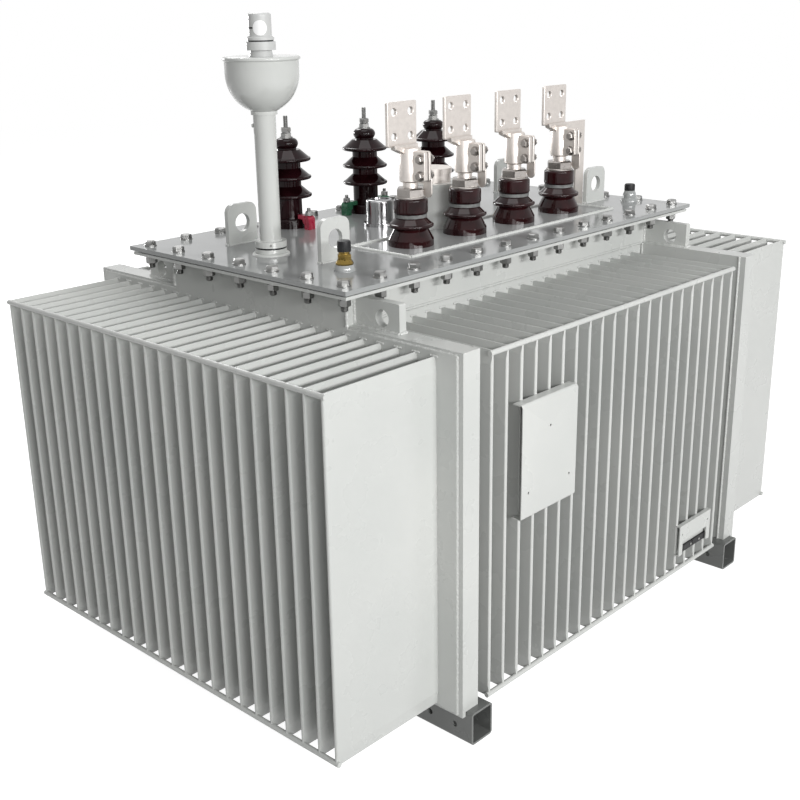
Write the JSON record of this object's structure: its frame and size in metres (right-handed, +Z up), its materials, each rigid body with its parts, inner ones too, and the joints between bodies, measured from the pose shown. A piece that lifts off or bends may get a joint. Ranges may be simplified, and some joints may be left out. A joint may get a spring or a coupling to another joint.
{
  "type": "power transformer",
  "caption": "Sealed oil-filled power transformer with corrugated fin walls, bolted cover, low- and high-voltage bushings, oil filler cup and skid base.",
  "frame": {"origin": "on the floor under the middle of the tank", "axes": "+X along the tank, -Y towards the low-voltage side, +Z up"},
  "size_m": [1.844, 1.28, 1.535],
  "materials": {
    "paint": "gloss light grey enamel",
    "paint_base": "satin grey enamel",
    "seal": "matt black rubber",
    "grey_seal": "matt grey rubber",
    "tinned": "tin-plated, satin",
    "zinc": "zinc-plated",
    "chrome": "polished",
    "device": "satin",
    "brass": "plain brass",
    "porcelain_brown": "gloss brown glaze",
    "porcelain_maroon": "gloss dark maroon glaze",
    "phase_red": "gloss red paint",
    "phase_green": "gloss green paint",
    "phase_yellow": "gloss yellow paint"
  },
  "bodies": {
    "root": {"base_skid_left": "paint_base", "base_skid_right": "paint_base", "tank_body": "paint", "end_frame_left": "paint", "end_frame_right": "paint", "fin_wall_front": "paint", "fin_wall_back": "paint", "fin_wall_left": "paint", "fin_wall_right": "paint", "tank_lugs_left": "paint", "tank_lugs_right": "paint", "tank_flange": "paint", "cover_gasket": "seal", "cover": "paint", "lv_insert_plate": "paint", "cover_lugs_left": "paint", "cover_lugs_right": "paint", "lv_bushing_1": "porcelain_brown", "lv_bushing_2": "porcelain_brown", "lv_bushing_3": "porcelain_brown", "lv_bushing_4": "porcelain_brown", "lv_gaskets": "grey_seal", "lv_nuts": "tinned", "lv_terminal_1": "tinned", "lv_terminal_2": "tinned", "lv_terminal_3": "tinned", "lv_terminal_4": "tinned", "neutral_bar": "tinned", "hv_bushing_1": "porcelain_maroon", "hv_bushing_2": "porcelain_maroon", "hv_bushing_3": "porcelain_maroon", "hv_studs": "zinc", "hv_clamps_red": "phase_red", "hv_clamps_green": "phase_green", "hv_clamps_yellow": "phase_yellow", "oil_filler_collar": "paint", "oil_filler_pipe": "paint", "oil_cup": "paint", "oil_level_device": "device", "relief_valve": "chrome", "tap_changer_housing": "paint", "tap_changer_cap": "tinned", "bleed_valves": "brass", "plate_bracket": "paint", "low_bracket": "paint"}
  },
  "joints": []
}
